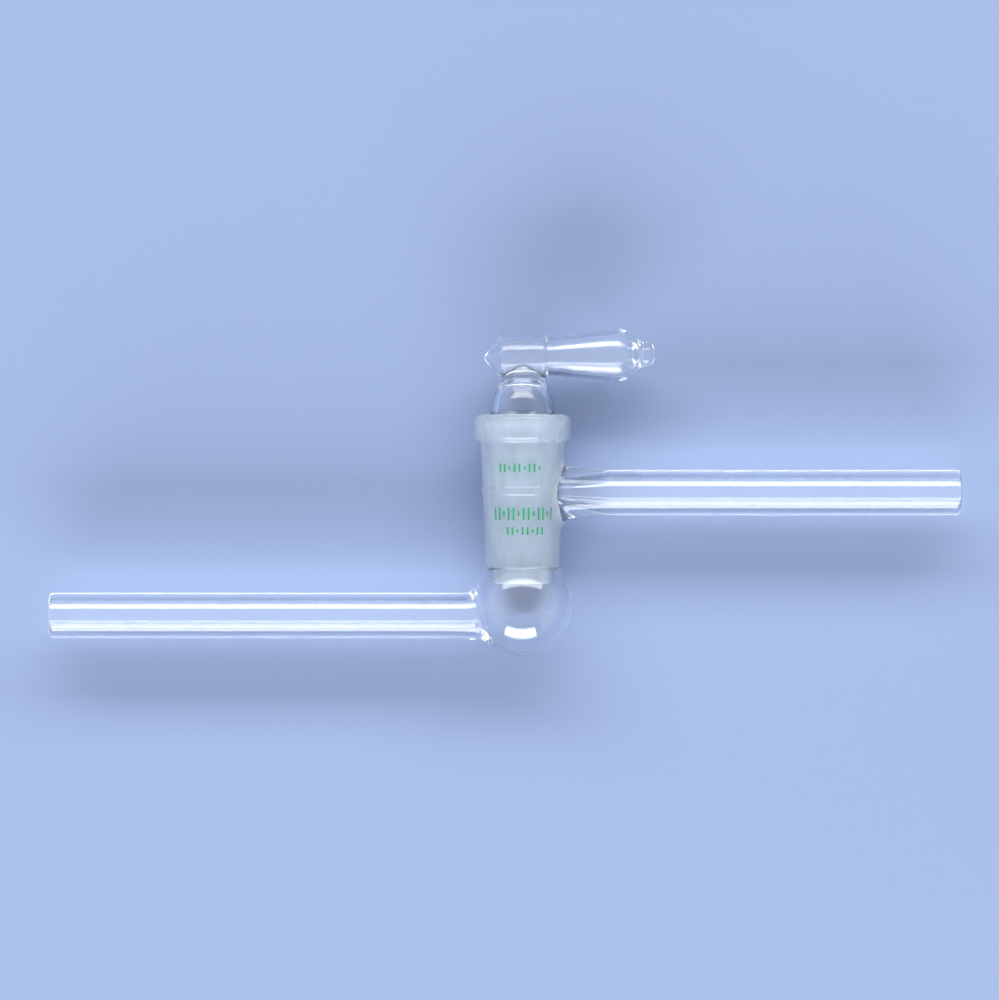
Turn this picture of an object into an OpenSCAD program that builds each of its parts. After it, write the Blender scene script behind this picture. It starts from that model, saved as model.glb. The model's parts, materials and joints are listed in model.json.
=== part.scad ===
// Glass stopcock with two offset arms. A hollow ground plug turns in a tapered barrel. What
// enters the side arm passes the port in the plug's wall, runs down inside the plug, and
// leaves through the bulb and the lower arm.
// The stopcock lies on a table: the plug's axis is along Y, the arms are along X, Z is up.
// Each piece is drawn upright, with the plug's axis on Z and the side arm's axis at height 0,
// and lay_down() then lays it on its side.

/* [Ground joint] */
// Width of the ground bore at its mouth
mouth_d = 21.5; // [20.5:0.5:23]
// Length of the ground bore, from its mouth to the bulb
ground_len = 43.7; // [40:0.1:48]
// Length over which the ground cone narrows by 1 mm
taper = 10; // [9:0.5:14]
// Film gap between the plug and the bore, all round
fit_gap = 0.05; // [0.03:0.01:0.08]

/* [Barrel] */
// Glass thickness of the barrel under its flange
wall_top = 1.6; // [1.4:0.1:2.2]
// Glass thickness of the barrel at the bulb
wall_low = 1.95; // [1.5:0.05:2.4]
// Height of the flange round the mouth
flange_h = 7.7; // [6:0.1:9]
// Glass thickness of the flange round the mouth
flange_wall = 3.15; // [2.8:0.05:4]
// Rounding of the flange's edges
flange_round = 1.9; // [0.6:0.1:2.2]
// Height of the faint ring round the barrel
ring_h = 0.25; // [0.1:0.05:0.5]
// Distance from the side arm's axis up to the ring
ring_rise = 0.9; // [0:0.1:2]

/* [Bulb] */
// Outside width of the bulb
bulb_d = 29.4; // [28:0.1:33]
// Glass thickness of the bulb
bulb_wall = 1.4; // [1.1:0.1:1.8]

/* [Arms] */
// Outside width of both arms
arm_d = 13; // [12:0.5:14]
// Glass thickness of both arms
arm_wall = 2.2; // [1.6:0.1:2.6]
// Distance from the mouth of the bore down to the side arm's axis
side_arm_drop = 22.2; // [20:0.1:24]
// Reach of the side arm from the plug's axis
side_arm_len = 125; // [70:1:180]
// Reach of the lower arm from the plug's axis
low_arm_len = 135; // [70:1:180]
// Distance from the bulb's centre down to the lower arm's axis
low_arm_drop = 3.2; // [1:0.1:4]

/* [Plug] */
// Glass thickness of the plug's ground part
plug_wall = 2.3; // [1.8:0.1:2.8]
// Width of the ports in the barrel and in the plug
port_d = 6; // [4:0.5:6.5]
// How far the plug reaches out of the ground bore into the bulb
plug_tail = 4.6; // [3:0.1:6]
// Width of the shank where it leaves the mouth
shank_d = 18.8; // [18.2:0.1:19.5]
// Width of the neck's waist, under the handle
neck_d = 13.7; // [13:0.1:14.4]
// Glass thickness of the neck
neck_wall = 1.9; // [1.6:0.1:2.2]

/* [Handle] */
// Height of the handle's axis over the mouth
handle_rise = 16.4; // [16:0.1:20]
// Angle by which the grip leans up, away from the arms
handle_lean = 1.3; // [0:0.1:3]
// Width of the handle's head, over the neck
head_d = 13.1; // [12.5:0.1:14]
// Reach of the head's pointed end from the plug's axis
head_tip = 11; // [10:0.5:13]
// Width of the grip where it leaves the head
grip_d = 12.2; // [11:0.1:12.4]
// Width of the grip at its widest
grip_end_d = 15.1; // [14:0.1:17]
// Reach of the handle from the plug's axis, to the end of its sealed nub
handle_len = 37.6; // [34:0.1:45]
// Width of the sealed nub at the handle's end
nub_d = 7.1; // [6.6:0.1:7.6]
// Glass thickness of the handle
handle_wall = 1.3; // [1:0.1:1.8]

/* [Hidden] */
glass = [0.80, 0.88, 0.92, 0.6];
frosted = [0.88, 0.92, 0.95];
$fn = 96;
arc_steps = 8;
curve_steps = 12;
through_steps = 4;
overlap = 1;

// heights along the plug's axis, from the side arm's axis
mouth_z = side_arm_drop;
barrel_end_z = mouth_z - ground_len;
flange_low_z = mouth_z - flange_h;
plug_end_z = barrel_end_z - plug_tail;
handle_z = mouth_z + handle_rise;

// radii of the ground cone and of the barrel's outside at a height
function ground_r(z) = (mouth_d - (mouth_z - z) / taper) / 2;
flange_r = mouth_d / 2 + flange_wall;
top_r = ground_r(flange_low_z) + wall_top;
low_r = ground_r(barrel_end_z) + wall_low;
function barrel_r(z) =
    low_r + (top_r - low_r) * (z - barrel_end_z) / (flange_low_z - barrel_end_z);

// the bulb grows out of the barrel's lower edge
bulb_r = bulb_d / 2;
bulb_z = barrel_end_z - sqrt(bulb_r * bulb_r - low_r * low_r);
low_arm_z = bulb_z - low_arm_drop;

arm_r = arm_d / 2;
arm_bore_r = arm_r - arm_wall;
lip_round = 0.45 * arm_wall;

// an arc of radius r about c, and a cubic curve, as lists of points
function arc(c, r, from, to, steps = arc_steps) =
    [for (i = [0 : steps]) let (a = from + (to - from) * i / steps) c + r * [cos(a), sin(a)]];
function curve(p, q, s, t, steps = curve_steps) =
    [for (i = [0 : steps]) let (u = i / steps, v = 1 - u)
        v * v * v * p + 3 * v * v * u * q + 3 * v * u * u * s + u * u * u * t];

// a smooth line through some points
function through(points, steps = through_steps) =
    let (n = len(points) - 1,
        p = concat([2 * points[0] - points[1]], points, [2 * points[n] - points[n - 1]]))
    concat(
        [for (i = [1 : n])
            let (part = curve(p[i], p[i] + (p[i + 1] - p[i - 1]) / 6,
                p[i + 1] - (p[i + 2] - p[i]) / 6, p[i + 1], steps))
            for (j = [0 : steps - 1]) part[j]],
        [points[n]]
    );

module lay_down() {
    // the mouth faces +Y, and the bulb rests on Z = 0
    translate([
        (low_arm_len - side_arm_len) / 2,
        (bulb_r - bulb_z - handle_top_z) / 2,
        bulb_r
    ])
        rotate([-90, 0, 0])
            children();
}

// turns a profile drawn as [radius, distance] about an arm's axis; side is 1 or -1
module about_arm(side, z, lean = 0) {
    translate([0, 0, z])
        rotate([0, side * (90 - lean), 0])
            rotate_extrude()
                children();
}

module arm_outside(reach, root_r, root_from, root_to) {
    polygon(concat(
        [[0, 0], [root_r, 0]],
        curve([root_r, root_from], [arm_r, (2 * root_from + root_to) / 3],
            [arm_r, (root_from + 2 * root_to) / 3], [arm_r, root_to]),
        arc([arm_r - lip_round, reach - lip_round], lip_round, 0, 90),
        [[0, reach]]
    ));
}

// the bore starts on the axis of the plug at start_r, widens between narrow_to and
// narrow_from, and opens out a little at the arm's rounded end
module arm_bore(reach, start_r, narrow_to, narrow_from) {
    lip_r = arm_bore_r + lip_round;
    half_way = (narrow_to + narrow_from) / 2;
    polygon(concat(
        [[0, 0], [start_r, 0]],
        curve([start_r, narrow_to], [start_r, half_way],
            [arm_bore_r, half_way], [arm_bore_r, narrow_from]),
        arc([lip_r, reach - lip_round], lip_round, 180, 90),
        [[lip_r, reach + overlap], [0, reach + overlap]]
    ));
}

module barrel_outside() {
    ring_half = 2 * ring_h;
    rotate_extrude()
        polygon(concat(
            [
                [0, barrel_end_z - overlap],
                [barrel_r(barrel_end_z - overlap), barrel_end_z - overlap],
                [barrel_r(ring_rise - ring_half), ring_rise - ring_half],
                [barrel_r(ring_rise) + ring_h, ring_rise],
                [barrel_r(ring_rise + ring_half), ring_rise + ring_half],
                [top_r, flange_low_z]
            ],
            arc([flange_r - flange_round, flange_low_z + flange_round], flange_round, -90, 0),
            arc([flange_r - flange_round, mouth_z - flange_round], flange_round, 0, 90),
            [[0, mouth_z]]
        ));
}

module ground_bore() {
    rotate_extrude()
        polygon([
            [0, barrel_end_z - 2 * overlap],
            [ground_r(barrel_end_z - 2 * overlap), barrel_end_z - 2 * overlap],
            [ground_r(mouth_z + overlap), mouth_z + overlap],
            [0, mouth_z + overlap]
        ]);
}

// where each arm flares into the glass that it is fused to
side_root_r = 1.22 * arm_r;
side_root_from = 12;
side_root_to = 23;
low_root_r = 1.09 * arm_r;
low_root_from = 14;
low_root_to = 21;

module barrel() {
    color(glass)
        lay_down()
            difference() {
                union() {
                    barrel_outside();
                    translate([0, 0, bulb_z]) sphere(r = bulb_r);
                    about_arm(1, 0)
                        arm_outside(side_arm_len, side_root_r, side_root_from, side_root_to);
                    about_arm(-1, low_arm_z)
                        arm_outside(low_arm_len, low_root_r, low_root_from, low_root_to);
                }
                ground_bore();
                translate([0, 0, bulb_z]) sphere(r = bulb_r - bulb_wall);
                about_arm(1, 0)
                    arm_bore(side_arm_len, port_d / 2, top_r + overlap, side_root_to);
                about_arm(-1, low_arm_z)
                    arm_bore(low_arm_len, arm_bore_r, low_root_from, low_root_to);
            }
}

// the plug's ground part stops a little below the mouth; the neck flares at its foot, slopes
// in from its hips to its waist, and its stem runs up into the handle's head
function plug_r(z) = ground_r(z) - fit_gap;
ground_top_z = mouth_z - 2;
lip_z = plug_end_z + 1.9;
shank_r = shank_d / 2;
neck_r = neck_d / 2;
waist_z = handle_z - 8.1;
stem_r = neck_r - 0.95;
rim_round = 0.4;
inner_low_r = plug_r(plug_end_z) - plug_wall;

module plug_outside() {
    rotate_extrude()
        polygon(concat(
            [[0, plug_end_z]],
            curve([inner_low_r + rim_round, plug_end_z], [plug_r(lip_z) - 0.7, plug_end_z],
                [plug_r(lip_z), lip_z - 1.2], [plug_r(lip_z), lip_z]),
            [[plug_r(ground_top_z), ground_top_z]],
            through([
                [shank_r, mouth_z],
                [shank_r - 0.42, mouth_z + 1.3],
                [shank_r - 0.7, mouth_z + 2.9],
                [shank_r - 1.05, mouth_z + 4.6],
                [neck_r + 0.25, waist_z - 1],
                [neck_r, waist_z],
                [neck_r - 0.2, waist_z + 1],
                [neck_r - 0.65, waist_z + 2],
                [stem_r, waist_z + 3.5],
                [stem_r, handle_z]
            ]),
            [[0, handle_z]]
        ));
}

// the inside follows the ground cone and then the neck, and ends in a dome in the waist
cavity_narrow_z = mouth_z - 7;
cavity_top_z = waist_z + 1.1;

module plug_cavity() {
    narrow_r = plug_r(cavity_narrow_z) - plug_wall;
    inner_shank_r = shank_r - neck_wall;
    inner_neck_r = neck_r - neck_wall;
    rotate_extrude()
        polygon(concat(
            [[0, plug_end_z - overlap], [inner_low_r + rim_round, plug_end_z - overlap]],
            arc([inner_low_r + rim_round, plug_end_z + rim_round], rim_round, 270, 180, 4),
            through([
                [narrow_r, cavity_narrow_z],
                [narrow_r - 0.3, cavity_narrow_z + 3.5],
                [inner_shank_r - 0.3, mouth_z + 0.5],
                [inner_shank_r - 0.7, mouth_z + 2.9],
                [inner_shank_r - 1.05, mouth_z + 4.6],
                [inner_neck_r + 0.3, waist_z - 1.2],
                [inner_neck_r - 0.7, cavity_top_z - 0.9],
                [inner_neck_r / 2, cavity_top_z - 0.15],
                [0, cavity_top_z]
            ])
        ));
}

// the handle is a head that sits across the neck, a groove, and a grip that widens to a
// shoulder and ends in the nub where the glass was drawn off and sealed
head_r = head_d / 2;
head_shoulder_x = 4.8;
head_end_x = 6.2;
tip_round = 1.6;
tip_slope = 48;
groove_x = 7;
grip_r = grip_d / 2;
groove_r = grip_r - 0.2;
grip_end_r = grip_end_d / 2;
widest_x = handle_len - 11;
nub_r = nub_d / 2;
nub_round = 2.3;
handle_top_z = handle_z + widest_x * sin(handle_lean) + grip_end_r * cos(handle_lean);

// the handle's outline, drawn in by a wall thickness for the space inside
function grip_line(wall) =
    curve([grip_r - wall, groove_x + 0.9], [grip_r + 0.25 - wall, groove_x + 7],
        [grip_end_r - 0.5 - wall, widest_x - 7], [grip_end_r - wall, widest_x]);

module handle_outside() {
    polygon(concat(
        [[0, -head_tip]],
        arc([0, tip_round - head_tip], tip_round, -90, -tip_slope, 4),
        arc([head_r - tip_round, -head_shoulder_x], tip_round, -tip_slope, 0, 4),
        [[head_r, head_end_x], [groove_r, groove_x]],
        grip_line(0),
        curve([grip_end_r, widest_x], [grip_end_r, widest_x + 1.6],
            [grip_end_r - 0.6, widest_x + 3.2], [grip_end_r - 1.3, widest_x + 4.1]),
        through([
            [grip_end_r - 1.3, widest_x + 4.1],
            [nub_r + 1.45, widest_x + 5.6],
            [nub_r + 0.2, widest_x + 7.3],
            [nub_r, widest_x + 8.7]
        ]),
        arc([nub_r - nub_round, handle_len - nub_round], nub_round, 0, 90),
        [[0, handle_len]]
    ));
}

module handle_cavity() {
    nub_inside_x = handle_len - 5;
    polygon(concat(
        arc([0, 2 * handle_wall - head_tip], 0.9, -90, -tip_slope, 4),
        arc([head_r - handle_wall - 1.2, -head_shoulder_x], 1.2, -tip_slope, 0, 4),
        [
            [head_r - handle_wall, head_end_x],
            [groove_r - handle_wall, groove_x]
        ],
        grip_line(handle_wall),
        curve([grip_end_r - handle_wall, widest_x], [grip_end_r - handle_wall, widest_x + 3.2],
            [2.4, nub_inside_x - 0.8], [0, nub_inside_x])
    ));
}

module plug() {
    color(frosted)
        lay_down()
            difference() {
                union() {
                    plug_outside();
                    about_arm(1, handle_z, handle_lean) handle_outside();
                }
                plug_cavity();
                about_arm(1, handle_z, handle_lean) handle_cavity();
                rotate([0, 90, 0]) cylinder(d = port_d, h = mouth_d);
            }
}

barrel();
plug();
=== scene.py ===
"""Glass stopcock, lying on a pale table: blown and fused glass, ground joint, printed marks.

The two pieces of glass are drawn as smooth fields, negative inside the glass, and each field
is turned into one closed mesh. Lengths in the fields are in millimetres, measured from the
point where the plug's axis meets the side arm's axis: along is the way of the side arm, up is
the way of the handle, and off is the height over that point.
"""

import json

import bpy
import numpy as np
from bpy.props import FloatProperty, FloatVectorProperty, PointerProperty
from mathutils import Matrix, Vector


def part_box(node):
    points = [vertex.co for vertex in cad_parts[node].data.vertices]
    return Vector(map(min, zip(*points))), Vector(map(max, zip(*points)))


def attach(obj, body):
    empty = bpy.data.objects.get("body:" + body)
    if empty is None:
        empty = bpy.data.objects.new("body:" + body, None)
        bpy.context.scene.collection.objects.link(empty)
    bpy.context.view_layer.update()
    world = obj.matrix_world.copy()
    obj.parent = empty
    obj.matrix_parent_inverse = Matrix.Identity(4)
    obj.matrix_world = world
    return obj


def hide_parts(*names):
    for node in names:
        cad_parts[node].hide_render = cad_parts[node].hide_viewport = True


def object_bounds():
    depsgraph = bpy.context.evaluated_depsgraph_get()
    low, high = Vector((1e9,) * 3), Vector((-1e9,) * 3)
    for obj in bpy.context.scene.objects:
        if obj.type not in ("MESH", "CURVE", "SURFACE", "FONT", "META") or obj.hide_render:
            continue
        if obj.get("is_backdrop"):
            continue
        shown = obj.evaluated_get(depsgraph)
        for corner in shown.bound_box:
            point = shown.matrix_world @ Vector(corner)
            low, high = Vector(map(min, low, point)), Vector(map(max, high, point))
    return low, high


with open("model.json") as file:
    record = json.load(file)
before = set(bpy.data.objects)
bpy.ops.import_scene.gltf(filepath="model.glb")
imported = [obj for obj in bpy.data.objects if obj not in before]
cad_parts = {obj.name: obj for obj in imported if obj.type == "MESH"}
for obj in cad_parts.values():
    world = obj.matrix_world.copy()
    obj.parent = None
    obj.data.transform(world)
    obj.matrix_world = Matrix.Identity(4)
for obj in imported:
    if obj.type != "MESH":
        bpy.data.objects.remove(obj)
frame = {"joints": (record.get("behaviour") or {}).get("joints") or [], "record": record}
START_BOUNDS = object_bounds()

bl_info = {
    "name": "Glass stopcock",
    "version": (1, 0, 0),
    "blender": (4, 5, 0),
    "location": "View3D > Sidebar > Stopcock",
    "description": "Smooth glass, enamel marks and a studio round the stopcock's frame",
    "category": "Object",
}

MM = 0.001
MOUNTS = {mount["name"]: mount for mount in frame["record"]["mounts"]}
PLUG_AXIS = Vector(frame["joints"][0]["pos_m"])
SIDE_ARM = MOUNTS["side_arm"]
LOW_ARM = MOUNTS["low_arm"]
BARREL_LOW, BARREL_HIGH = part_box("barrel")
PLUG_LOW, PLUG_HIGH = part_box("plug")
# the fields' zero point, in metres in the frame
ZERO = Vector((PLUG_AXIS.x, SIDE_ARM["pos_m"][1], PLUG_AXIS.z))

# what the frame fixes, in millimetres from the zero point
MOUTH_UP = (BARREL_HIGH.y - ZERO.y) / MM
BULB_R = BARREL_HIGH.z / MM / 2
BULB_UP = (BARREL_LOW.y - ZERO.y) / MM + BULB_R
ARM_R = SIDE_ARM["dims"]["r_mm"]
SIDE_REACH = (BARREL_HIGH.x - ZERO.x) / MM
LOW_REACH = (ZERO.x - BARREL_LOW.x) / MM
LOW_ARM_UP = (LOW_ARM["pos_m"][1] - ZERO.y) / MM
PLUG_END_UP = (PLUG_LOW.y - ZERO.y) / MM
HANDLE_TIP = (PLUG_LOW.x - ZERO.x) / MM
HANDLE_END = (PLUG_HIGH.x - ZERO.x) / MM
HANDLE_TOP_UP = (PLUG_HIGH.y - ZERO.y) / MM
# where the grip is at its widest
WIDEST = HANDLE_END - 11.0

# forms that are neither in the frame nor in the sidebar, in millimetres from the zero point

# the root of each arm, from where its flare starts to where it is full
SIDE_ROOT = (23.4, 13.0)
LOW_ROOT = (21.0, 13.5)
# the bore behind the side arm, from the port's width to the arm's
PORT_WIDENS = (14.5, 23.4)
# the low band under the ring, up its one side and down its other
BAND_RISES = (-1.0, -0.45)
BAND_FALLS = (0.2, 0.9)
# how far the cone runs on into the flange and the bulb, and the bore into the bulb's hollow
CONE_IN_FLANGE = 2.0
CONE_IN_BULB = 1.0
BORE_IN_BULB = 0.8
# how deep the ring's round back lies in the glass
RING_SUNK = 0.3
# past this distance from the plug's axis, every edge is a fire-polished end of an arm
ARM_ENDS = 60.0

# how wide the glass is melted together, outside, then inside, and how wide its edges are rounded
FLANGE_BLEND = 0.8
RING_BLEND = 0.6
BULB_BLEND = 0.5
BORE_BLEND = 0.4
LOW_BORE_BLEND = 3.0
PORT_BLEND = 0.25
BARREL_EDGE = 0.35
PLUG_EDGE = 0.3

# where the handle's head steps down to the grip, and where it slopes in to its point, by how
# many degrees
HANDLE_STEP = 7.0
SHOULDER = -4.8
TIP_SLOPE = 48

# the plug's ground part, from the top of its rounded lip to a little under the mouth
PLUG_LIP_UP = PLUG_END_UP + 1.9
GROUND_TOP_UP = MOUTH_UP - 2.0

# rows of enamel bars: height of the middle, turn aside from the front, width, height of a bar
MARK_ROWS = ((7.0, -0.9, 11.6, 2.4), (-6.0, 0.3, 17.0, 3.6), (-10.9, 0.7, 10.8, 2.2))
# the last bar of every so many is short, by this share of its height
SHORT_BAR_EACH = 3.0
SHORTER_BY = 0.6


# ---- fields ----


def smooth_min(a, b, blend):
    """The union of two fields, with a fillet about as wide as blend."""
    h = np.clip(0.5 + 0.5 * (b - a) / blend, 0.0, 1.0)
    return b + (a - b) * h - blend * h * (1.0 - h)


def smooth_max(a, b, blend):
    """The overlap of two fields, with an edge rounded about as wide as blend."""
    return -smooth_min(-a, -b, blend)


def ease(x, start, stop):
    """Rises smoothly from 0 at start to 1 at stop."""
    t = np.clip((x - start) / (stop - start), 0.0, 1.0)
    return t * t * (3.0 - 2.0 * t)


def ramp(x, start, stop, soft=0.12):
    """Rises in a straight line from 0 at start to 1 at stop, with softened corners."""
    return smooth_min(smooth_max((x - start) / (stop - start), 0.0, soft), 1.0, soft)


def arc(centre, radius, start, stop, steps=10):
    """Points along an arc, from one angle in degrees to another."""
    angles = np.radians(np.linspace(start, stop, steps + 1))
    return [(centre[0] + radius * np.cos(a), centre[1] + radius * np.sin(a)) for a in angles]


def curve(p, q, s, t, steps=24):
    """Points along a cubic curve from p to t."""
    p, q, s, t = (np.array(point, float) for point in (p, q, s, t))
    u = np.linspace(0.0, 1.0, steps + 1)[:, None]
    v = 1.0 - u
    return [tuple(point) for point in v**3 * p + 3 * v * v * u * q + 3 * v * u * u * s + u**3 * t]


def through(*points, steps=8):
    """Points along a smooth line through some points."""
    p = np.array(points, float)
    p = np.concatenate([[2 * p[0] - p[1]], p, [2 * p[-1] - p[-2]]])
    line = [tuple(p[1])]
    for a, b, c, d in zip(p, p[1:], p[2:], p[3:]):
        line += curve(b, b + (c - a) / 6, c - (d - b) / 6, c, steps)[1:]
    return line


class Turned:
    """The field of a solid turned on an axis, from its outline as (radius, distance) points.

    The distance to the outline is worked out once on a fine grid and then read from it.
    """

    STEP = 0.1
    MARGIN = 3.0

    def __init__(self, outline):
        points = np.array(outline, float)
        self.low = np.array([0.0, points[:, 1].min() - self.MARGIN])
        high = points.max(axis=0) + self.MARGIN
        shape = np.ceil((high - self.low) / self.STEP).astype(int) + 2
        r = self.low[0] + self.STEP * np.arange(shape[0])[:, None]
        h = self.low[1] + self.STEP * np.arange(shape[1])[None, :]
        nearest = np.full(shape, np.inf)
        inside = np.zeros(shape, bool)
        for (r0, h0), (r1, h1) in zip(points, np.roll(points, -1, axis=0)):
            dr, dh = r1 - r0, h1 - h0
            square = dr * dr + dh * dh
            if square == 0.0:
                continue
            # a stretch along the axis is inside the solid, so it is no part of the surface
            if r0 > 0.0 or r1 > 0.0:
                t = np.clip(((r - r0) * dr + (h - h0) * dh) / square, 0.0, 1.0)
                apart = (r - r0 - t * dr) ** 2 + (h - h0 - t * dh) ** 2
                nearest = np.minimum(nearest, apart)
            if dh != 0.0:
                crossing = ((h0 > h) != (h1 > h)) & (r < r0 + (h - h0) * dr / dh)
                inside ^= crossing
        self.table = np.where(inside, -1.0, 1.0) * np.sqrt(nearest)

    def __call__(self, radius, distance):
        """The field at some points, read between the grid's nearest four."""
        u = (radius - self.low[0]) / self.STEP
        v = (distance - self.low[1]) / self.STEP
        rows, columns = self.table.shape
        i = np.clip(u.astype(int), 0, rows - 2)
        j = np.clip(v.astype(int), 0, columns - 2)
        a = np.clip(u - i, 0.0, 1.0)
        b = np.clip(v - j, 0.0, 1.0)
        near = self.table[i, j] * (1 - b) + self.table[i, j + 1] * b
        far = self.table[i + 1, j] * (1 - b) + self.table[i + 1, j + 1] * b
        return near * (1 - a) + far * a


# ---- from a field to a mesh ----

CORNERS = np.array([(i, j, k) for i in (0, 1) for j in (0, 1) for k in (0, 1)])
EDGES = [
    (a, b)
    for a in range(8)
    for b in range(a + 1, 8)
    if np.abs(CORNERS[a] - CORNERS[b]).sum() == 1
]


def spread(*stretches):
    """Grid lines along one direction, from (start, stop, step) stretches that join up."""
    lines = [
        np.linspace(start, stop, int(round((stop - start) / step)) + 1)[:-1]
        for start, stop, step in stretches
    ]
    return np.concatenate(lines + [[stretches[-1][1]]])


def slope(field, points, reach=0.06):
    """The direction in which a field rises fastest, and its steepness, at each point."""
    rise = np.empty_like(points)
    for axis in range(3):
        ahead, behind = points.copy(), points.copy()
        ahead[:, axis] += reach
        behind[:, axis] -= reach
        rise[:, axis] = (field(*ahead.T) - field(*behind.T)) / (2 * reach)
    return rise


def skin(field, grid):
    """Points and four-sided faces of the surface where a field is 0, one point to a cell."""
    values = field(*np.meshgrid(*grid, indexing="ij"))
    inside = values < 0.0
    cells = np.array(values.shape) - 1
    seen = sum(
        inside[i : i + cells[0], j : j + cells[1], k : k + cells[2]].astype(np.int8)
        for i, j, k in CORNERS
    )
    where = np.argwhere((seen > 0) & (seen < 8))
    number = np.full(cells, -1)
    number[tuple(where.T)] = np.arange(len(where))
    total = np.zeros((len(where), 3))
    count = np.zeros(len(where))
    spots = [where + corner for corner in CORNERS]
    places = [np.stack([grid[a][spot[:, a]] for a in range(3)], axis=1) for spot in spots]
    levels = [values[tuple(spot.T)] for spot in spots]
    for a, b in EDGES:
        crossed = (levels[a] < 0.0) != (levels[b] < 0.0)
        part = np.where(crossed, levels[a] / np.where(crossed, levels[a] - levels[b], 1.0), 0.0)
        total += crossed[:, None] * (places[a] + part[:, None] * (places[b] - places[a]))
        count += crossed
    points = total / count[:, None]
    faces = []
    for axis in range(3):
        one, two = [a for a in range(3) if a != axis]
        step = np.eye(3, dtype=int)
        low = inside[tuple(slice(None, -1) if a == axis else slice(1, -1) for a in range(3))]
        high = inside[tuple(slice(1, None) if a == axis else slice(1, -1) for a in range(3))]
        edge = np.argwhere(low != high)
        leaving = low[tuple(edge.T)]
        cell = edge + step[one] + step[two]
        around = [cell - step[one] - step[two], cell - step[two], cell, cell - step[one]]
        quads = np.stack([number[tuple(corner.T)] for corner in around], axis=1)
        turned = leaving == (axis != 1)
        faces.append(np.where(turned[:, None], quads, quads[:, ::-1]))
    return points, np.concatenate(faces)


def settle(field, points, faces, rounds=3, steps=4, least_steep=0.1):
    """Evens out the points along the surface, and brings each one exactly onto it."""

    def land(points):
        for _ in range(steps):
            rise = slope(field, points)
            steep = (rise**2).sum(axis=1)
            points = points - (field(*points.T) / np.maximum(steep, least_steep))[:, None] * rise
        return points

    points = land(points)
    ends = np.concatenate([faces, np.roll(faces, -1, axis=1)], axis=1).reshape(-1, 2, 4)
    starts, stops = ends[:, 0].ravel(), ends[:, 1].ravel()
    links = np.bincount(starts, minlength=len(points)) + np.bincount(stops, minlength=len(points))
    for _ in range(rounds):
        middle = np.empty_like(points)
        for axis in range(3):
            middle[:, axis] = np.bincount(starts, points[stops, axis], len(points))
            middle[:, axis] += np.bincount(stops, points[starts, axis], len(points))
        middle /= links[:, None]
        rise = slope(field, points)
        rise /= np.linalg.norm(rise, axis=1, keepdims=True)
        move = middle - points
        move -= (move * rise).sum(axis=1, keepdims=True) * rise
        points = land(points + 0.5 * move)
    return points


def glass_object(name, field, grid, ground, materials):
    """One closed glass mesh from a field; faces whose middle is in the ground zone are matt."""
    points, faces = skin(field, grid)
    points = settle(field, points, faces)
    normals = slope(field, points)
    normals /= np.linalg.norm(normals, axis=1, keepdims=True)
    mesh = bpy.data.meshes.new(name)
    mesh.from_pydata(np.array(ZERO) + MM * points, [], faces)
    mesh.polygons.foreach_set("use_smooth", np.ones(len(faces), bool))
    matt = ground(*points[faces].mean(axis=1).T)
    for material in materials:
        mesh.materials.append(material)
    mesh.polygons.foreach_set("material_index", matt.astype(np.int32))
    mesh.normals_split_custom_set_from_vertices(normals)
    mesh.update()
    piece = bpy.data.objects.new(name, mesh)
    bpy.context.scene.collection.objects.link(piece)
    return piece


# ---- the two pieces of glass ----


def ground_radius(sizes, up):
    """Radius of the ground cone at a height."""
    return (sizes.mouth_d / MM - (MOUTH_UP - up) / sizes.taper) / 2


def barrel_radius(sizes, up):
    """Radius of the barrel's outside at a height, under the flange."""
    end = MOUTH_UP - sizes.ground_len / MM
    under_flange = MOUTH_UP - sizes.flange_h / MM
    low_r = ground_radius(sizes, end) + sizes.wall_low / MM
    top_r = ground_radius(sizes, under_flange) + sizes.wall_top / MM
    return low_r + (top_r - low_r) * (up - end) / (under_flange - end)


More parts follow.
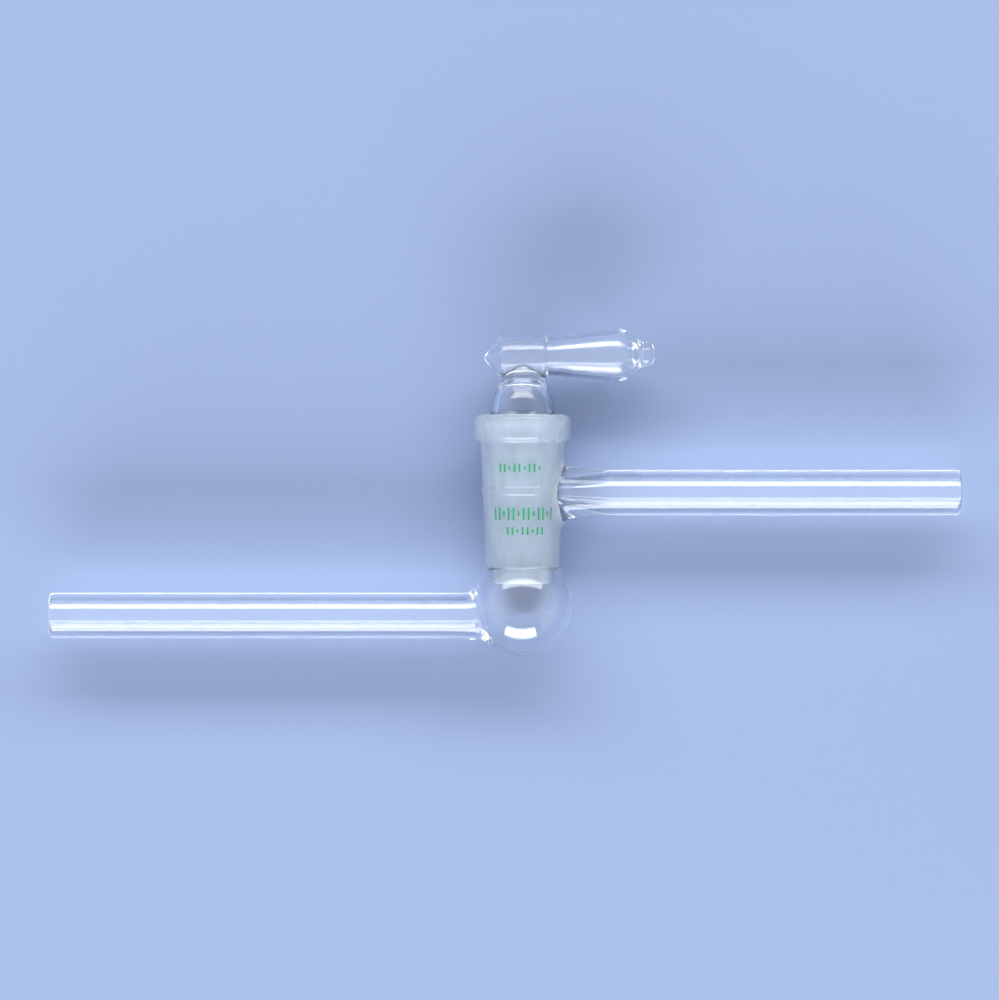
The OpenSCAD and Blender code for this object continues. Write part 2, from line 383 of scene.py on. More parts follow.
def barrel_outside(sizes, along, up, off):
    """Flange, tapered barrel with its faint ring, bulb and both arms, melted together."""
    from_axis = np.hypot(along, off)
    end = MOUTH_UP - sizes.ground_len / MM
    under_flange = MOUTH_UP - sizes.flange_h / MM
    edge = sizes.flange_round / MM
    wide = from_axis - (sizes.flange_d / MM / 2 - edge)
    high = np.abs(up - (MOUTH_UP + under_flange) / 2) - ((MOUTH_UP - under_flange) / 2 - edge)
    flange = np.hypot(np.maximum(wide, 0.0), np.maximum(high, 0.0))
    flange += np.minimum(np.maximum(wide, high), 0.0) - edge

    band = ease(up, *BAND_RISES) - ease(up, *BAND_FALLS)
    cone = from_axis - barrel_radius(sizes, up) - sizes.band_h / MM * band
    ends = np.maximum(up - under_flange - CONE_IN_FLANGE, end - CONE_IN_BULB - up)
    cone = np.maximum(cone, ends)
    ring = np.hypot(cone + RING_SUNK, up - sizes.ring_up / MM) - RING_SUNK - sizes.ring_h / MM
    bulb = np.sqrt(along**2 + (up - BULB_UP) ** 2 + off**2) - BULB_R
    lip = sizes.lip_blend / MM

    side_r = ARM_R + sizes.side_flare / MM * ramp(along, *SIDE_ROOT)
    side = smooth_max(np.hypot(up, off) - side_r, along - SIDE_REACH, lip)
    side = np.maximum(side, -along)
    low_r = ARM_R + sizes.low_flare / MM * ramp(-along, *LOW_ROOT)
    low = smooth_max(np.hypot(up - LOW_ARM_UP, off) - low_r, -along - LOW_REACH, lip)
    low = np.maximum(low, along)

    glass = smooth_min(smooth_min(cone, flange, FLANGE_BLEND), ring, RING_BLEND)
    glass = smooth_min(glass, bulb, BULB_BLEND)
    # melted glass sags towards the bulb, so both fillets are deepest under their arm
    deeper = 1.0 + 0.4 * ease(up, 2.0, 8.0) + 1.6 * ease(-up, 2.0, 8.0)
    glass = smooth_min(glass, side, sizes.side_fillet / MM * deeper)
    deeper = 1.0 + 1.6 * ease(LOW_ARM_UP - up, 3.0, 6.5)
    return smooth_min(glass, low, sizes.low_fillet / MM * deeper)


def barrel_inside(sizes, along, up, off):
    """Ground bore, the bulb's hollow, both arms' bores and the port behind the side arm."""
    end = MOUTH_UP - sizes.ground_len / MM
    bore = np.hypot(along, off) - ground_radius(sizes, up)
    bore = np.maximum(bore, end - BORE_IN_BULB - up)
    hollow = np.sqrt(along**2 + (up - BULB_UP) ** 2 + off**2) - (BULB_R - sizes.bulb_wall / MM)
    arm_bore_r = ARM_R - sizes.arm_wall / MM
    port_r = sizes.port_d / MM / 2
    side_r = port_r + (arm_bore_r - port_r) * ramp(along, *PORT_WIDENS)
    side = np.maximum(np.hypot(up, off) - side_r, -along)
    low = np.maximum(np.hypot(up - LOW_ARM_UP, off) - arm_bore_r, along)
    space = smooth_min(bore, hollow, BORE_BLEND)
    space = smooth_min(space, low, LOW_BORE_BLEND)
    return smooth_min(space, side, PORT_BLEND)


def barrel_field(sizes):
    """The barrel's glass: its outside, less the space inside it."""

    def field(along, up, off):
        edge = np.where(np.abs(along) > ARM_ENDS, sizes.lip_blend / MM, BARREL_EDGE)
        glass = barrel_outside(sizes, along, up, off)
        return smooth_max(glass, -barrel_inside(sizes, along, up, off), edge)

    return field


def plug_outline(sizes):
    """Ground cone with a rounded lip, then foot, hips and waist of the neck, up into the head."""
    gap = sizes.fit_gap / MM
    end, lip = PLUG_END_UP, PLUG_LIP_UP
    lip_r = ground_radius(sizes, lip) - gap
    rim_r = ground_radius(sizes, end) - gap - sizes.plug_wall / MM + 0.4
    shank_r = sizes.shank_d / MM / 2
    neck_r = sizes.neck_d / MM / 2
    stem_r = neck_r - 0.95
    handle_up = MOUTH_UP + 16.4
    return (
        [(0.0, end)]
        + curve((rim_r, end), (lip_r - 0.7, end), (lip_r, lip - 1.2), (lip_r, lip))
        + [(ground_radius(sizes, GROUND_TOP_UP) - gap, GROUND_TOP_UP)]
        + through(
            (shank_r, MOUTH_UP),
            (shank_r - 0.42, MOUTH_UP + 1.3),
            (shank_r - 0.7, MOUTH_UP + 2.9),
            (shank_r - 1.05, MOUTH_UP + 4.6),
            (neck_r + 0.25, MOUTH_UP + 7.3),
            (neck_r, MOUTH_UP + 8.3),
            (neck_r - 0.2, MOUTH_UP + 9.3),
            (neck_r - 0.65, MOUTH_UP + 10.3),
            (stem_r, MOUTH_UP + 11.8),
            (stem_r, handle_up),
        )
        + [(0.0, handle_up)]
    )


def plug_hollow_outline(sizes):
    """The space inside the plug: open below, and closed by a dome in the neck's waist."""
    wall = sizes.fit_gap / MM + sizes.plug_wall / MM
    neck_wall = sizes.neck_wall / MM
    end_r = ground_radius(sizes, PLUG_END_UP) - wall
    narrow = MOUTH_UP - 7.0
    narrow_r = ground_radius(sizes, narrow) - wall
    shank_r = sizes.shank_d / MM / 2 - neck_wall
    neck_r = sizes.neck_d / MM / 2 - neck_wall
    dome = MOUTH_UP + sizes.dome_rise / MM
    return (
        [(0.0, PLUG_END_UP - 1.0), (end_r + 0.4, PLUG_END_UP - 1.0)]
        + arc((end_r + 0.4, PLUG_END_UP + 0.4), 0.4, 270, 180)
        + through(
            (narrow_r, narrow),
            (narrow_r - 0.3, narrow + 3.5),
            (shank_r - 0.3, MOUTH_UP + 0.5),
            (shank_r - 0.7, MOUTH_UP + 2.9),
            (shank_r - 1.05, MOUTH_UP + 4.6),
            (neck_r + 0.3, MOUTH_UP + 7.1),
            (neck_r - 0.7, dome - 0.9),
            (0.5 * neck_r, dome - 0.15),
            (0.0, dome),
        )
    )


def handle_outline(sizes, wall):
    """Pointed head, step, widening grip, shoulder and sealed nub; wall draws it inwards."""
    head_r = sizes.head_d / MM / 2
    grip_r = sizes.grip_d / MM / 2
    nub_r = sizes.nub_d / MM / 2
    nub = HANDLE_END - 3.6
    end_r = sizes.grip_end_d / MM / 2 - wall
    grip_start = (grip_r - wall - 0.36, HANDLE_STEP + 0.3)
    joint = arc((head_r - wall - 1.2, HANDLE_STEP - 1.5), 1.2, 0, 42) + through(
        (grip_r - wall - 0.3, HANDLE_STEP - 0.15),
        (grip_r - wall - 0.39, HANDLE_STEP + 0.05),
        grip_start,
    )
    grip = curve(
        grip_start,
        (grip_r - wall - 0.1, HANDLE_STEP + 6),
        (end_r - 0.5, WIDEST - 7),
        (end_r, WIDEST),
    )[1:]
    if wall > 0.0:
        return (
            arc((0.0, HANDLE_TIP + 1.9), 0.9, -90, -TIP_SLOPE)
            + arc((head_r - wall - 1.4, SHOULDER), 1.4, -TIP_SLOPE, 0)
            + joint
            + grip
            + curve((end_r, WIDEST), (end_r, WIDEST + 3.2), (2.4, nub - 2.2), (0.0, nub - 1.4))[1:]
        )
    return (
        [(0.0, HANDLE_TIP)]
        + arc((0.0, HANDLE_TIP + 1.6), 1.6, -90, -TIP_SLOPE)
        + arc((head_r - 1.6, SHOULDER), 1.6, -TIP_SLOPE, 0)
        + joint
        + grip
        + curve(
            (end_r, WIDEST),
            (end_r, WIDEST + 1.6),
            (end_r - 0.6, WIDEST + 3.2),
            (end_r - 1.3, WIDEST + 4.1),
        )[1:]
        + through(
            (end_r - 1.3, WIDEST + 4.1),
            (nub_r + 1.45, WIDEST + 5.6),
            (nub_r + 0.2, WIDEST + 7.3),
            (nub_r, WIDEST + 8.7),
        )[1:]
        + arc((nub_r - 2.3, HANDLE_END - 2.3), 2.3, 0, 90)
        + [(0.0, HANDLE_END)]
    )


def plug_field(sizes):
    """The plug's glass: stem and handle, less the space and port inside and the handle's own."""
    stem = Turned(plug_outline(sizes))
    hollow = Turned(plug_hollow_outline(sizes))
    handle = Turned(handle_outline(sizes, 0.0))
    handle_hollow = Turned(handle_outline(sizes, sizes.handle_wall / MM))
    lean = sizes.handle_lean
    handle_up = HANDLE_TOP_UP - WIDEST * np.sin(lean) - sizes.grip_end_d / MM / 2 * np.cos(lean)
    port_r = sizes.port_d / MM / 2

    def field(along, up, off):
        from_axis = np.hypot(along, off)
        out = along * np.cos(lean) + (up - handle_up) * np.sin(lean)
        aside = (up - handle_up) * np.cos(lean) - along * np.sin(lean)
        from_handle = np.hypot(aside, off)
        glass = smooth_min(stem(from_axis, up), handle(from_handle, out), sizes.neck_blend / MM)
        port = np.maximum(np.hypot(up, off) - port_r, -along)
        space = np.minimum(hollow(from_axis, up), port)
        glass = smooth_max(glass, -space, PLUG_EDGE)
        return smooth_max(glass, -handle_hollow(from_handle, out), PLUG_EDGE)

    return field


# ---- materials ----


class Nodes:
    """Adds nodes to a material and links them, in the order in which they are written."""

    def __init__(self, name):
        self.material = bpy.data.materials.new(name)
        self.material.use_nodes = True
        self.tree = self.material.node_tree
        self.tree.nodes.clear()
        self.surface = self.add("ShaderNodeBsdfPrincipled")
        output = self.add("ShaderNodeOutputMaterial")
        self.link(self.surface.outputs["BSDF"], output.inputs["Surface"])
        self.place = self.add("ShaderNodeTexCoord").outputs["Object"]

    def add(self, kind, **inputs):
        node = self.tree.nodes.new(kind)
        for name, value in inputs.items():
            node.inputs[name.replace("_", " ")].default_value = value
        return node

    def set(self, **inputs):
        """Sets plain values on the surface's own inputs."""
        for name, value in inputs.items():
            self.surface.inputs[name.replace("_", " ")].default_value = value

    def link(self, start, end):
        self.tree.links.new(start, end)

    def noise(self, scale, stretch=(1, 1, 1), detail=3.0, roughness=0.5):
        """Cloudy noise on the piece's own coordinates; a small stretch draws it out that way."""
        mapping = self.add("ShaderNodeMapping", Scale=stretch)
        self.link(self.place, mapping.inputs["Vector"])
        noise = self.add("ShaderNodeTexNoise", Scale=scale, Detail=detail, Roughness=roughness)
        self.link(mapping.outputs["Vector"], noise.inputs["Vector"])
        return noise.outputs["Fac"]

    def between(self, value, low, high):
        """A value from 0 to 1, brought to between low and high."""
        span = self.add("ShaderNodeMapRange", To_Min=low, To_Max=high)
        self.link(value, span.inputs["Value"])
        return span.outputs["Result"]

    def shades(self, colour, value, low, high):
        """A colour whose brightness follows a value from 0 to 1, between low and high."""
        shade = self.add("ShaderNodeHueSaturation", Color=(*colour, 1.0))
        self.link(self.between(value, low, high), shade.inputs["Value"])
        return shade.outputs["Color"]

    def bump(self, height, distance, strength, before=None):
        """The normal of a surface that rises with a value, on top of another bump's."""
        bump = self.add("ShaderNodeBump", Distance=distance, Strength=strength)
        self.link(height, bump.inputs["Height"])
        if before is not None:
            self.link(before, bump.inputs["Normal"])
        return bump.outputs["Normal"]


def clear_glass(look):
    """Flame-polished glass: faint ripples left by the flame, and a trace of colour."""
    nodes = Nodes("clear_glass")
    nodes.set(Base_Color=(*look.glass_colour, 1.0), Roughness=0.0)
    nodes.set(IOR=look.glass_ior, Transmission_Weight=1.0)
    ripples = nodes.noise(120.0, stretch=(0.12, 1, 1), detail=1.0)
    ripples = nodes.bump(ripples, distance=0.0004, strength=look.ripple)
    nodes.link(ripples, nodes.surface.inputs["Normal"])
    return nodes.material


def ground_glass(look):
    """Glass ground with grit: matt and milky, with a fine grain and faint turning marks."""
    nodes = Nodes("ground_glass")
    glass = nodes.surface.inputs
    nodes.set(IOR=look.glass_ior, Transmission_Weight=look.ground_clear)
    streaks = nodes.noise(520.0, stretch=(1, 0.3, 1), roughness=0.55)
    nodes.link(nodes.shades(look.ground_colour, streaks, 0.78, 1.08), glass["Base Color"])
    cloud = nodes.noise(260.0, detail=4.0, roughness=0.6)
    nodes.link(nodes.between(cloud, 0.3, 0.5), glass["Roughness"])
    turning = nodes.noise(150.0, stretch=(0.05, 6, 0.05), detail=2.0)
    turning = nodes.bump(turning, distance=0.0001, strength=0.25)
    grain = nodes.noise(5000.0, detail=2.0)
    grain = nodes.bump(grain, distance=0.00002, strength=0.35, before=turning)
    nodes.link(grain, glass["Normal"])
    return nodes.material


def green_enamel(look):
    """Fired enamel print: slightly uneven, half matt."""
    nodes = Nodes("green_enamel")
    enamel = nodes.surface.inputs
    cover = nodes.shades(look.enamel_colour, nodes.noise(1200.0), 0.75, 1.2)
    nodes.link(cover, enamel["Base Color"])
    nodes.link(nodes.between(nodes.noise(1500.0), 0.35, 0.6), enamel["Roughness"])
    grain = nodes.bump(nodes.noise(3000.0), distance=0.00002, strength=0.4)
    nodes.link(grain, enamel["Normal"])
    return nodes.material


# ---- enamel marks ----


class Formulas:
    """Writes a node group: its inputs by name, and sums worked out by Math nodes."""

    def __init__(self, name, inputs):
        self.tree = bpy.data.node_groups.new(name, "GeometryNodeTree")
        new_socket = self.tree.interface.new_socket
        new_socket("Geometry", in_out="OUTPUT", socket_type="NodeSocketGeometry")
        for title, default, description in inputs:
            socket = new_socket(title, in_out="INPUT", socket_type="NodeSocketFloat")
            socket.default_value = default
            socket.description = description
        self.given = self.tree.nodes.new("NodeGroupInput").outputs

    def add(self, kind, **inputs):
        node = self.tree.nodes.new(kind)
        for name, value in inputs.items():
            self.put(value, node.inputs[name.replace("_", " ")])
        return node

    def put(self, value, socket):
        """Links or sets a value, whichever it is."""
        if isinstance(value, bpy.types.NodeSocket):
            self.tree.links.new(value, socket)
        else:
            socket.default_value = value

    def work_out(self, operation, *values):
        """The result of one sum on some values."""
        node = self.tree.nodes.new("ShaderNodeMath")
        node.operation = operation
        for value, socket in zip(values, node.inputs):
            self.put(value, socket)
        return node.outputs[0]


def printed_row(material):
    """A row of bars printed round a cone that opens upwards, with a short bar every so often."""
    row = Formulas(
        "printed_row",
        (
            ("Bars", 12.0, "Number of bars in the row"),
            ("Pitch", 0.0009, "Distance from one bar to the next, round the glass"),
            ("Width", 0.0004, "Width of a bar"),
            ("Height", 0.0028, "Height of a tall bar"),
            ("Aside", 0.0, "Distance of the row's middle from the front, round the glass"),
            ("Up", 0.0, "Height of the row's middle"),
            ("Radius", 0.011, "Radius of the glass at the row's middle"),
            ("Slope", 0.04, "Growth of the radius with height"),
            ("Film", 0.00004, "How far the enamel stands out of the glass, and reaches into it"),
        ),
    )
    add, work_out, given = row.add, row.work_out, row.given

    # the bars in a flat row: each is a cube, drawn out to its size, on a point of a line
    index = add("GeometryNodeInputIndex").outputs[0]
    middle = work_out("MULTIPLY", work_out("SUBTRACT", given["Bars"], 1.0), 0.5)
    from_middle = work_out("SUBTRACT", index, middle)
    aside = work_out("MULTIPLY_ADD", from_middle, given["Pitch"], given["Aside"])
    last_of_each = work_out("MODULO", index, SHORT_BAR_EACH)
    short = work_out("GREATER_THAN", last_of_each, SHORT_BAR_EACH - 1.5)
    tall = work_out("SUBTRACT", 1.0, work_out("MULTIPLY", short, SHORTER_BY))
    size = add(
        "ShaderNodeCombineXYZ",
        X=given["Width"],
        Y=work_out("MULTIPLY", given["Height"], tall),
        Z=work_out("MULTIPLY", given["Film"], 2.0),
    )
    line = add(
        "GeometryNodeSetPosition",
        Geometry=add("GeometryNodeMeshLine", Count=given["Bars"]).outputs[0],
        Position=add("ShaderNodeCombineXYZ", X=aside).outputs[0],
    )
    bars = add(
        "GeometryNodeInstanceOnPoints",
        Points=line.outputs[0],
        Instance=add("GeometryNodeMeshCube").outputs[0],
        Scale=size.outputs[0],
    )
    flat = add("GeometryNodeRealizeInstances", Geometry=bars.outputs[0])

    # the row wrapped round the cone
    position = add("GeometryNodeInputPosition").outputs[0]
    place = add("ShaderNodeSeparateXYZ", Vector=position).outputs
    surface = work_out("MULTIPLY_ADD", place["Y"], given["Slope"], given["Radius"])
    radius = work_out("ADD", surface, place["Z"])
    turn = work_out("DIVIDE", place["X"], given["Radius"])
    wrapped = add(
        "ShaderNodeCombineXYZ",
        X=work_out("MULTIPLY", radius, work_out("SINE", turn)),
        Y=work_out("ADD", place["Y"], given["Up"]),
        Z=work_out("MULTIPLY", radius, work_out("COSINE", turn)),
    )
    on_glass = add(
        "GeometryNodeSetPosition", Geometry=flat.outputs[0], Position=wrapped.outputs[0]
    )
    coated = add("GeometryNodeSetMaterial", Geometry=on_glass.outputs[0], Material=material)
    end = row.tree.nodes.new("NodeGroupOutput")
    row.put(coated.outputs[0], end.inputs[0])
    return row.tree


def grown(name, tree, **values):
    """The plain mesh that a node tree makes, as a new mesh."""
    seed = bpy.data.objects.new(name, bpy.data.meshes.new(name))
    bpy.context.scene.collection.objects.link(seed)
    modifier = seed.modifiers.new("grow", "NODES")
    modifier.node_group = tree
    for item in tree.interface.items_tree:
        if item.in_out == "INPUT" and item.name in values:
            modifier[item.identifier] = values[item.name]
    bpy.context.view_layer.update()
    finished = seed.evaluated_get(bpy.context.evaluated_depsgraph_get())
    mesh = bpy.data.meshes.new_from_object(finished)
    bpy.data.objects.remove(seed)
    return mesh


# ---- sizes and looks, as they show in the sidebar ----


def length(default, description):
    """A length in metres."""
    return FloatProperty(
        name=description.split(",")[0],
        description=description,
        default=default,
        min=0.0,
        unit="LENGTH",
        subtype="DISTANCE",
        precision=5,
    )


def colour(default, description):
    """A colour, as red, green and blue from 0 to 1."""
    return FloatVectorProperty(
        name=description.split(",")[0],
        description=description,
        default=default,
        min=0.0,
        max=1.0,
        size=3,
        subtype="COLOR",
    )


def share(default, description):
    """A number from 0 to 1."""
    return FloatProperty(
        name=description.split(",")[0],
        description=description,
        default=default,
        min=0.0,
        max=1.0,
        subtype="FACTOR",
    )


def angle(default, description):
    """An angle in radians."""
    return FloatProperty(
        name=description.split(",")[0],
        description=description,
        default=default,
        subtype="ANGLE",
        unit="ROTATION",
    )


class StopcockGlass(bpy.types.PropertyGroup):
    mouth_d: length(0.0215, "Mouth, width of the ground bore at its mouth")
    ground_len: length(0.0437, "Ground length, from the mouth to the bulb")
    taper: FloatProperty(
        name="Taper",
        description="Length over which the ground cone narrows by 1",
        default=10.0,
        min=5.0,
    )
    fit_gap: length(0.00005, "Fit gap, film between the plug and the bore")
    wall_top: length(0.0016, "Upper wall, glass of the barrel under its flange")
    wall_low: length(0.00195, "Lower wall, glass of the barrel at the bulb")
    flange_h: length(0.0077, "Flange height, along the plug's axis")
    flange_d: length(0.0278, "Flange width, across the mouth")
    flange_round: length(0.0019, "Flange edge, radius of its rounding")
    ring_h: length(0.00025, "Ring height, of the faint ring round the barrel")
    ring_up: length(0.0009, "Ring rise, from the side arm's axis up to the ring")
    band_h: length(0.0003, "Band height, of the low band under the ring")
    bulb_wall: length(0.0014, "Bulb wall, glass of the bulb")
    arm_wall: length(0.0022, "Arm wall, glass of both arms")
    side_flare: length(0.00085, "Side flare, growth of the side arm's radius at its root")
    low_flare: length(0.00045, "Lower flare, growth of the lower arm's radius at its root")
    side_fillet: length(0.0018, "Side fillet, blend of the side arm into the barrel")
    low_fillet: length(0.001, "Lower fillet, blend of the lower arm into the bulb")
    lip_blend: length(0.0016, "Lip rounding, blend of the arms' fire-polished ends")
    port_d: length(0.006, "Port, width of the holes in the barrel and the plug")
    plug_wall: length(0.0023, "Plug wall, glass of the plug's ground part")
    shank_d: length(0.0188, "Shank, width of the plug where it leaves the mouth")
    neck_wall: length(0.0019, "Neck wall, glass thickness of the plug's neck")
    neck_d: length(0.0137, "Neck, width of the plug under its handle")
    neck_blend: length(0.0005, "Neck blend, of the neck into the handle's head")
    dome_rise: length(0.0094, "Dome rise, of the hollow's end over the mouth")
    head_d: length(0.0131, "Head, width of the handle over the neck")
    handle_lean: angle(np.radians(1.3), "Handle lean, of the grip up from the arms' direction")
    grip_d: length(0.0122, "Grip, width of the handle next to its head")
    grip_end_d: length(0.0151, "Grip end, width of the handle at its widest")
    nub_d: length(0.0071, "Nub, width of the handle's sealed end")
    handle_wall: length(0.0013, "Handle wall, glass of the handle")
    cell: length(0.0005, "Cell, of the grid that the meshes are drawn on")


class StopcockLook(bpy.types.PropertyGroup):
    glass_colour: colour((0.985, 0.99, 1.0), "Glass, colour of the clear glass")
    glass_ior: FloatProperty(
        name="Glass IOR",
        description="Refraction of borosilicate glass",
        default=1.473,
        min=1.0,
        max=2.0,
    )
    ripple: share(0.06, "Ripple, strength of the flame's ripples in the clear glass")
    ground_colour: colour((0.75, 0.87, 1.0), "Ground glass, colour of the matt faces")
    ground_clear: share(0.45, "Ground glass, share of the light that a matt face lets in")
    enamel_colour: colour((0.02, 0.42, 0.17), "Enamel, colour of the printed marks")
    bar_width: length(0.0005, "Bar width, of the printed marks")
    bar_pitch: length(0.00145, "Bar pitch, of the printed marks")
    film: length(0.00004, "Film, how far the marks stand out of the glass")


class StopcockStudio(bpy.types.PropertyGroup):
    floor_colour: colour((0.35, 0.45, 0.71), "Floor, its colour")
    lamp_distance: length(1.6, "Lamp distance, from the stopcock to both lamps")
    handle_lamp_length: length(2.93, "Handle lamp length, along the arms")
    bulb_lamp_length: length(1.73, "Bulb lamp length, along the arms")
    handle_lamp: angle(np.radians(51.0), "Handle lamp, from the vertical towards the handle")
    handle_lamp_width: angle(np.radians(18.0), "Handle lamp width, as the stopcock sees it")
    handle_lamp_shine: FloatProperty(
        name="Handle lamp shine",
        description="Radiance of the handle lamp, where 1 renders white",
        default=5.6,
        min=0.0,
    )
    bulb_lamp: angle(np.radians(72.5), "Bulb lamp, from the vertical towards the bulb")
    bulb_lamp_width: angle(np.radians(26.0), "Bulb lamp width, as the stopcock sees it")
    bulb_lamp_shine: FloatProperty(
        name="Bulb lamp shine",
        description="Radiance of the bulb lamp, where 1 renders white",
        default=9.3,
        min=0.0,
    )
    bulb_lamp_aside: length(0.133, "Bulb lamp aside, towards the lower arm")
    sky: share(0.36, "Sky, light of the room round the stopcock")
    sky_seen: share(1.0, "Sky seen, brightness of the room's walls in the glass")
    camera_height: length(2.0, "Camera height, over the arms")
    view_width: length(0.2847, "View width, across the picture at the arms")
    view_x: FloatProperty(
        name="View X", description="Middle of the view, along X", default=-0.001555, unit="LENGTH"
    )
    view_y: FloatProperty(
        name="View Y", description="Middle of the view, along Y", default=-0.00228, unit="LENGTH"
    )


# ---- operators ----


class STOPCOCK_OT_barrel(bpy.types.Operator):
    """Build the barrel with its flange, bulb and arms, as one piece of glass"""

    bl_idname = "stopcock.barrel"
    bl_label = "Barrel"

    def execute(self, context):
        sizes = context.scene.stopcock_glass
        look = context.scene.stopcock_look
        cell = sizes.cell / MM
        # coarse along the straight tubes, and fine across the ring and its band
        straight, tube_end, tube_cell = 27.0, 4.0, 4.0
        ring_from, ring_to = -1.2, 1.8
        grid = (
            spread(
                (-LOW_REACH - 1, -LOW_REACH + tube_end, cell),
                (-LOW_REACH + tube_end, -straight, tube_cell),
                (-straight, straight, cell),
                (straight, SIDE_REACH - tube_end, tube_cell),
                (SIDE_REACH - tube_end, SIDE_REACH + 1, cell),
            ),
            spread(
                (BULB_UP - BULB_R - 1, ring_from, cell),
                (ring_from, ring_to, 0.3 * cell),
                (ring_to, MOUTH_UP + 1, cell),
            ),
            spread((-BULB_R - 1, BULB_R + 1, cell)),
        )
        end = MOUTH_UP - sizes.ground_len / MM
        near = 0.09

        def ground(along, up, off):
            off_cone = np.abs(np.hypot(along, off) - ground_radius(sizes, up))
            return (off_cone < near) & (up > end - 0.1) & (up < MOUTH_UP - 0.1)

        materials = [clear_glass(look), ground_glass(look)]
        piece = glass_object("glass_barrel", barrel_field(sizes), grid, ground, materials)
        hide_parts("barrel")
        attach(piece, "barrel")
        return {"FINISHED"}


class STOPCOCK_OT_plug(bpy.types.Operator):
    """Build the plug with its cross handle, as one piece of glass"""

    bl_idname = "stopcock.plug"
    bl_label = "Plug"

    def execute(self, context):
        sizes = context.scene.stopcock_glass
        look = context.scene.stopcock_look
        cell = 0.9 * sizes.cell / MM
        # fine across the step between the handle's head and its grip
        step_from, step_to = 5.2, 8.4
        wide = sizes.mouth_d / MM / 2 + 1.0
        grid = (
            spread(
                (HANDLE_TIP - 1, step_from, cell),
                (step_from, step_to, 0.5 * cell),
                (step_to, HANDLE_END + 1, cell),
            ),
            spread((PLUG_END_UP - 1, HANDLE_TOP_UP + 1, cell)),
            spread((-wide, wide, cell)),
        )
        gap = sizes.fit_gap / MM
        near, lip_deep = 0.08, 2.0

        def ground(along, up, off):
            from_axis = np.hypot(along, off)
            cone_r = ground_radius(sizes, up)
            cone = (np.abs(from_axis - (cone_r - gap)) < near) & (up > PLUG_LIP_UP)
            lip = (up < PLUG_END_UP + lip_deep) & (from_axis > cone_r - lip_deep)
            return (cone & (up < GROUND_TOP_UP + 0.1)) | lip

        materials = [clear_glass(look), ground_glass(look)]
        piece = glass_object("glass_plug", plug_field(sizes), grid, ground, materials)
        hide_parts("plug")
        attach(piece, "plug")
        return {"FINISHED"}


class STOPCOCK_OT_marks(bpy.types.Operator):
    """Print three rows of plain enamel bars on the barrel"""

    bl_idname = "stopcock.marks"
    bl_label = "Enamel marks"

    def execute(self, context):
        sizes = context.scene.stopcock_glass
        look = context.scene.stopcock_look
        tree = printed_row(green_enamel(look))
        # growth of the barrel's radius over one millimetre of height
        growth = barrel_radius(sizes, 1.0) - barrel_radius(sizes, 0.0)
        for number, (up, aside, wide, high) in enumerate(MARK_ROWS, 1):
            row = grown(
                f"row_{number}",
                tree,
                Bars=round(wide * MM / look.bar_pitch) + 1.0,
                Pitch=look.bar_pitch,
                Width=look.bar_width,
                Height=high * MM,
                Aside=aside * MM,
                Up=up * MM,
                Radius=barrel_radius(sizes, up) * MM,
                Slope=growth,
                Film=look.film,
            )
            row.transform(Matrix.Translation(ZERO))
            marks = bpy.data.objects.new(f"enamel_row_{number}", row)
            context.scene.collection.objects.link(marks)
            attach(marks, "barrel")
        return {"FINISHED"}


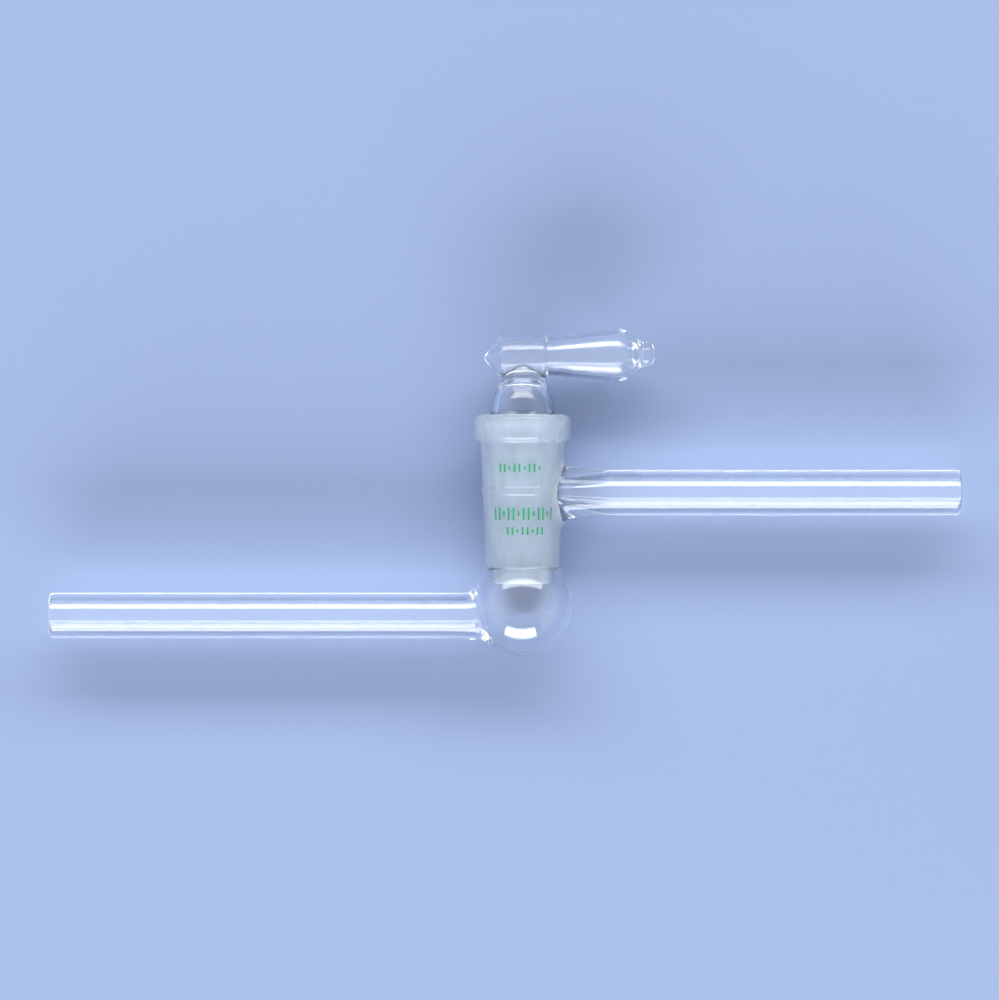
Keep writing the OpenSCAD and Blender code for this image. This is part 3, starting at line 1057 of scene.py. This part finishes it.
class STOPCOCK_OT_stage(bpy.types.Operator):
    """Lay out the floor, both lamps, the sky and the camera"""

    bl_idname = "stopcock.stage"
    bl_label = "Stage"

    def execute(self, context):
        studio = context.scene.stopcock_studio
        self.floor(context, studio)
        self.lamp(context, studio, "handle_lamp", 1, 0.0)
        self.lamp(context, studio, "bulb_lamp", -1, -studio.bulb_lamp_aside)
        self.sky(context, studio)
        self.camera(context, studio)
        context.scene.view_settings.view_transform = "Standard"
        # light is led on through the arms' walls, and scatters often between the matt faces
        cycles = context.scene.cycles
        cycles.max_bounces = 128
        cycles.transmission_bounces = 128
        cycles.glossy_bounces = 128
        cycles.diffuse_bounces = 32
        return {"FINISHED"}

    def floor(self, context, studio):
        """A plain even floor, far wider than the view."""
        nodes = Nodes("floor")
        nodes.set(Roughness=0.8, Specular_IOR_Level=0.15)
        cover = nodes.shades(studio.floor_colour, nodes.noise(300.0, detail=4.0), 0.99, 1.01)
        nodes.link(cover, nodes.surface.inputs["Base Color"])
        mesh = bpy.data.meshes.new("floor")
        reach = 6.0
        corners = [(x * reach, y * reach, 0.0) for x, y in ((-1, -1), (1, -1), (1, 1), (-1, 1))]
        mesh.from_pydata(corners, [], [(0, 1, 2, 3)])
        mesh.materials.append(nodes.material)
        floor = bpy.data.objects.new("floor", mesh)
        context.scene.collection.objects.link(floor)
        floor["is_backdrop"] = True

    def lamp(self, context, studio, name, side, aside):
        """A long soft lamp along the arms, leant from the vertical; side is 1 or -1, for +Y or -Y.

        Its lean, width, length and shine are the studio's settings that begin with its name.
        """
        distance = studio.lamp_distance
        lean = side * getattr(studio, name)
        light = bpy.data.lights.new(name, "AREA")
        light.shape = "RECTANGLE"
        light.size = getattr(studio, name + "_length")
        light.size_y = 2 * distance * np.tan(getattr(studio, name + "_width") / 2)
        light.energy = getattr(studio, name + "_shine") * np.pi * light.size * light.size_y
        lamp = bpy.data.objects.new(name, light)
        context.scene.collection.objects.link(lamp)
        away = Vector((0.0, np.sin(lean), np.cos(lean)))
        lamp.location = Vector((aside, 0.0, ZERO.z)) + distance * away
        lamp.rotation_euler = (-lean, 0.0, 0.0)
        lamp.visible_camera = False
        lamp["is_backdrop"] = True

    def sky(self, context, studio):
        """The room's light, with a brighter pale wall for the camera and in the glass."""
        world = bpy.data.worlds.new("sky")
        context.scene.world = world
        world.use_nodes = True
        tree = world.node_tree
        background = tree.nodes["Background"]
        background.inputs["Color"].default_value = (0.92, 0.96, 1.0, 1.0)
        rays = tree.nodes.new("ShaderNodeLightPath").outputs
        seen = rays["Is Camera Ray"]
        for kind in ("Is Glossy Ray", "Is Transmission Ray"):
            either = tree.nodes.new("ShaderNodeMath")
            either.operation = "MAXIMUM"
            tree.links.new(seen, either.inputs[0])
            tree.links.new(rays[kind], either.inputs[1])
            seen = either.outputs[0]
        strength = tree.nodes.new("ShaderNodeMapRange")
        strength.inputs["To Min"].default_value = studio.sky
        strength.inputs["To Max"].default_value = studio.sky_seen
        tree.links.new(seen, strength.inputs["Value"])
        tree.links.new(strength.outputs["Result"], background.inputs["Strength"])

    def camera(self, context, studio):
        """A long lens that looks straight down."""
        data = bpy.data.cameras.new("camera")
        data.sensor_fit = "HORIZONTAL"
        data.lens = data.sensor_width * studio.camera_height / studio.view_width
        data.clip_end = 50.0
        camera = bpy.data.objects.new("camera", data)
        context.scene.collection.objects.link(camera)
        camera.location = (studio.view_x, studio.view_y, ZERO.z + studio.camera_height)
        context.scene.camera = camera


class STOPCOCK_PT_panel(bpy.types.Panel):
    """Sizes, looks and the steps that build the stopcock"""

    bl_idname = "STOPCOCK_PT_panel"
    bl_label = "Glass stopcock"
    bl_space_type = "VIEW_3D"
    bl_region_type = "UI"
    bl_category = "Stopcock"

    def draw(self, context):
        layout = self.layout
        for operator in OPERATORS:
            layout.operator(operator.bl_idname)
        for group in GROUPS:
            box = layout.box()
            settings = getattr(context.scene, GROUPS[group])
            for name in group.__annotations__:
                box.prop(settings, name)


OPERATORS = (STOPCOCK_OT_barrel, STOPCOCK_OT_plug, STOPCOCK_OT_marks, STOPCOCK_OT_stage)
GROUPS = {
    StopcockGlass: "stopcock_glass",
    StopcockLook: "stopcock_look",
    StopcockStudio: "stopcock_studio",
}


def register():
    for item in (*GROUPS, *OPERATORS, STOPCOCK_PT_panel):
        bpy.utils.register_class(item)
    for group, name in GROUPS.items():
        setattr(bpy.types.Scene, name, PointerProperty(type=group))


def unregister():
    for name in GROUPS.values():
        delattr(bpy.types.Scene, name)
    for item in (STOPCOCK_PT_panel, *reversed(OPERATORS), *reversed(GROUPS)):
        bpy.utils.unregister_class(item)


def plain(bounds):
    """Bounds as plain lists."""
    if isinstance(bounds, dict):
        return {name: plain(value) for name, value in bounds.items()}
    if isinstance(bounds, (str, int, float, bool)) or bounds is None:
        return bounds
    return [plain(value) for value in bounds]


def main():
    register()
    for operator in OPERATORS:
        group, name = operator.bl_idname.split(".")
        getattr(getattr(bpy.ops, group), name)()
    {"loaded": plain(START_BOUNDS), "finished": plain(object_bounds())}


if __name__ == "__main__":
    main()
